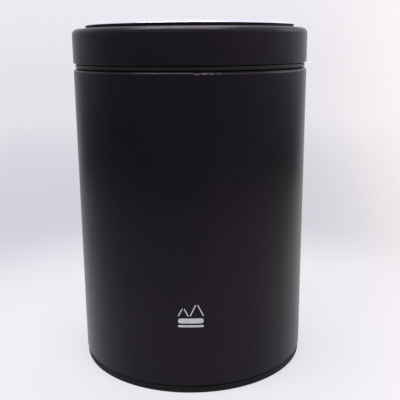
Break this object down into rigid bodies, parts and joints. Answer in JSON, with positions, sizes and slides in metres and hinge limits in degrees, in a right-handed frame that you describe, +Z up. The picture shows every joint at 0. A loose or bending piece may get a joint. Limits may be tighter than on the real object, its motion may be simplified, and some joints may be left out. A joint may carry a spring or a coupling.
{
  "type": "bear canister",
  "caption": "Round hard-sided food canister in matte black, with a foot ring, a recessed neck and a lift-off lid that coin-turn locks hold shut under a bright round plate.",
  "frame": {"origin": "centre of the base, on the plane that the foot ring stands on", "axes": "+Z up along the canister's axis; -Y is the front, where the printed mark is; +X to the right of the front"},
  "size_m": [0.22, 0.22, 0.3245],
  "materials": {
    "powder_coat": "matte black powder coat, faintly textured",
    "black_anodised": "satin black anodised",
    "clear_anodised": "satin clear anodised",
    "spun_aluminium": "spun, with a bright turned edge",
    "black_rubber": "matte moulded rubber",
    "seal_silicone": "soft grey silicone",
    "black_nylon": "moulded, fine spark texture",
    "stainless": "turned and lightly brushed stainless steel",
    "mark_ink": "screen-printed ink",
    "brass": "machined"
  },
  "bodies": {
    "canister": {"body_shell": "powder_coat", "base_pan": "clear_anodised", "foot_ring": "black_rubber", "base_screws": "stainless", "base_nuts": "stainless", "neck_ring": "black_anodised", "neck_gasket": "black_rubber", "clamp_ring": "black_anodised", "neck_screws": "stainless"},
    "lid": {"lid_cap": "powder_coat", "lid_core": "black_nylon", "lid_seal": "seal_silicone", "top_pad": "black_rubber", "top_disc": "spun_aluminium", "lid_screws": "stainless", "lid_inserts": "brass", "lock_bush_1": "stainless", "lock_bush_2": "stainless", "lock_bush_3": "stainless"},
    "lock_1": {"lock_spindle_1": "stainless", "lock_cam_1": "stainless", "lock_nut_1": "stainless", "lock_oring_1": "black_rubber", "lock_spring_1": "stainless"},
    "lock_2": {"lock_spindle_2": "stainless", "lock_cam_2": "stainless", "lock_nut_2": "stainless", "lock_oring_2": "black_rubber", "lock_spring_2": "stainless"},
    "lock_3": {"lock_spindle_3": "stainless", "lock_cam_3": "stainless", "lock_nut_3": "stainless", "lock_oring_3": "black_rubber", "lock_spring_3": "stainless"}
  },
  "joints": [
    {"name": "lid_lift", "type": "slide", "parent": "canister", "child": "lid", "axis": [0, 0, 1], "range_m": [0, 0.12]},
    {"name": "lock_turn_1", "type": "hinge", "parent": "lid", "child": "lock_1", "pos_m": [0, 0.072, 0.3049], "axis": [0, 0, -1], "range_deg": [0, 90]},
    {"name": "lock_turn_2", "type": "hinge", "parent": "lid", "child": "lock_2", "pos_m": [-0.06235, -0.036, 0.3049], "axis": [0, 0, -1], "range_deg": [0, 90]},
    {"name": "lock_turn_3", "type": "hinge", "parent": "lid", "child": "lock_3", "pos_m": [0.06235, -0.036, 0.3049], "axis": [0, 0, -1], "range_deg": [0, 90]}
  ]
}
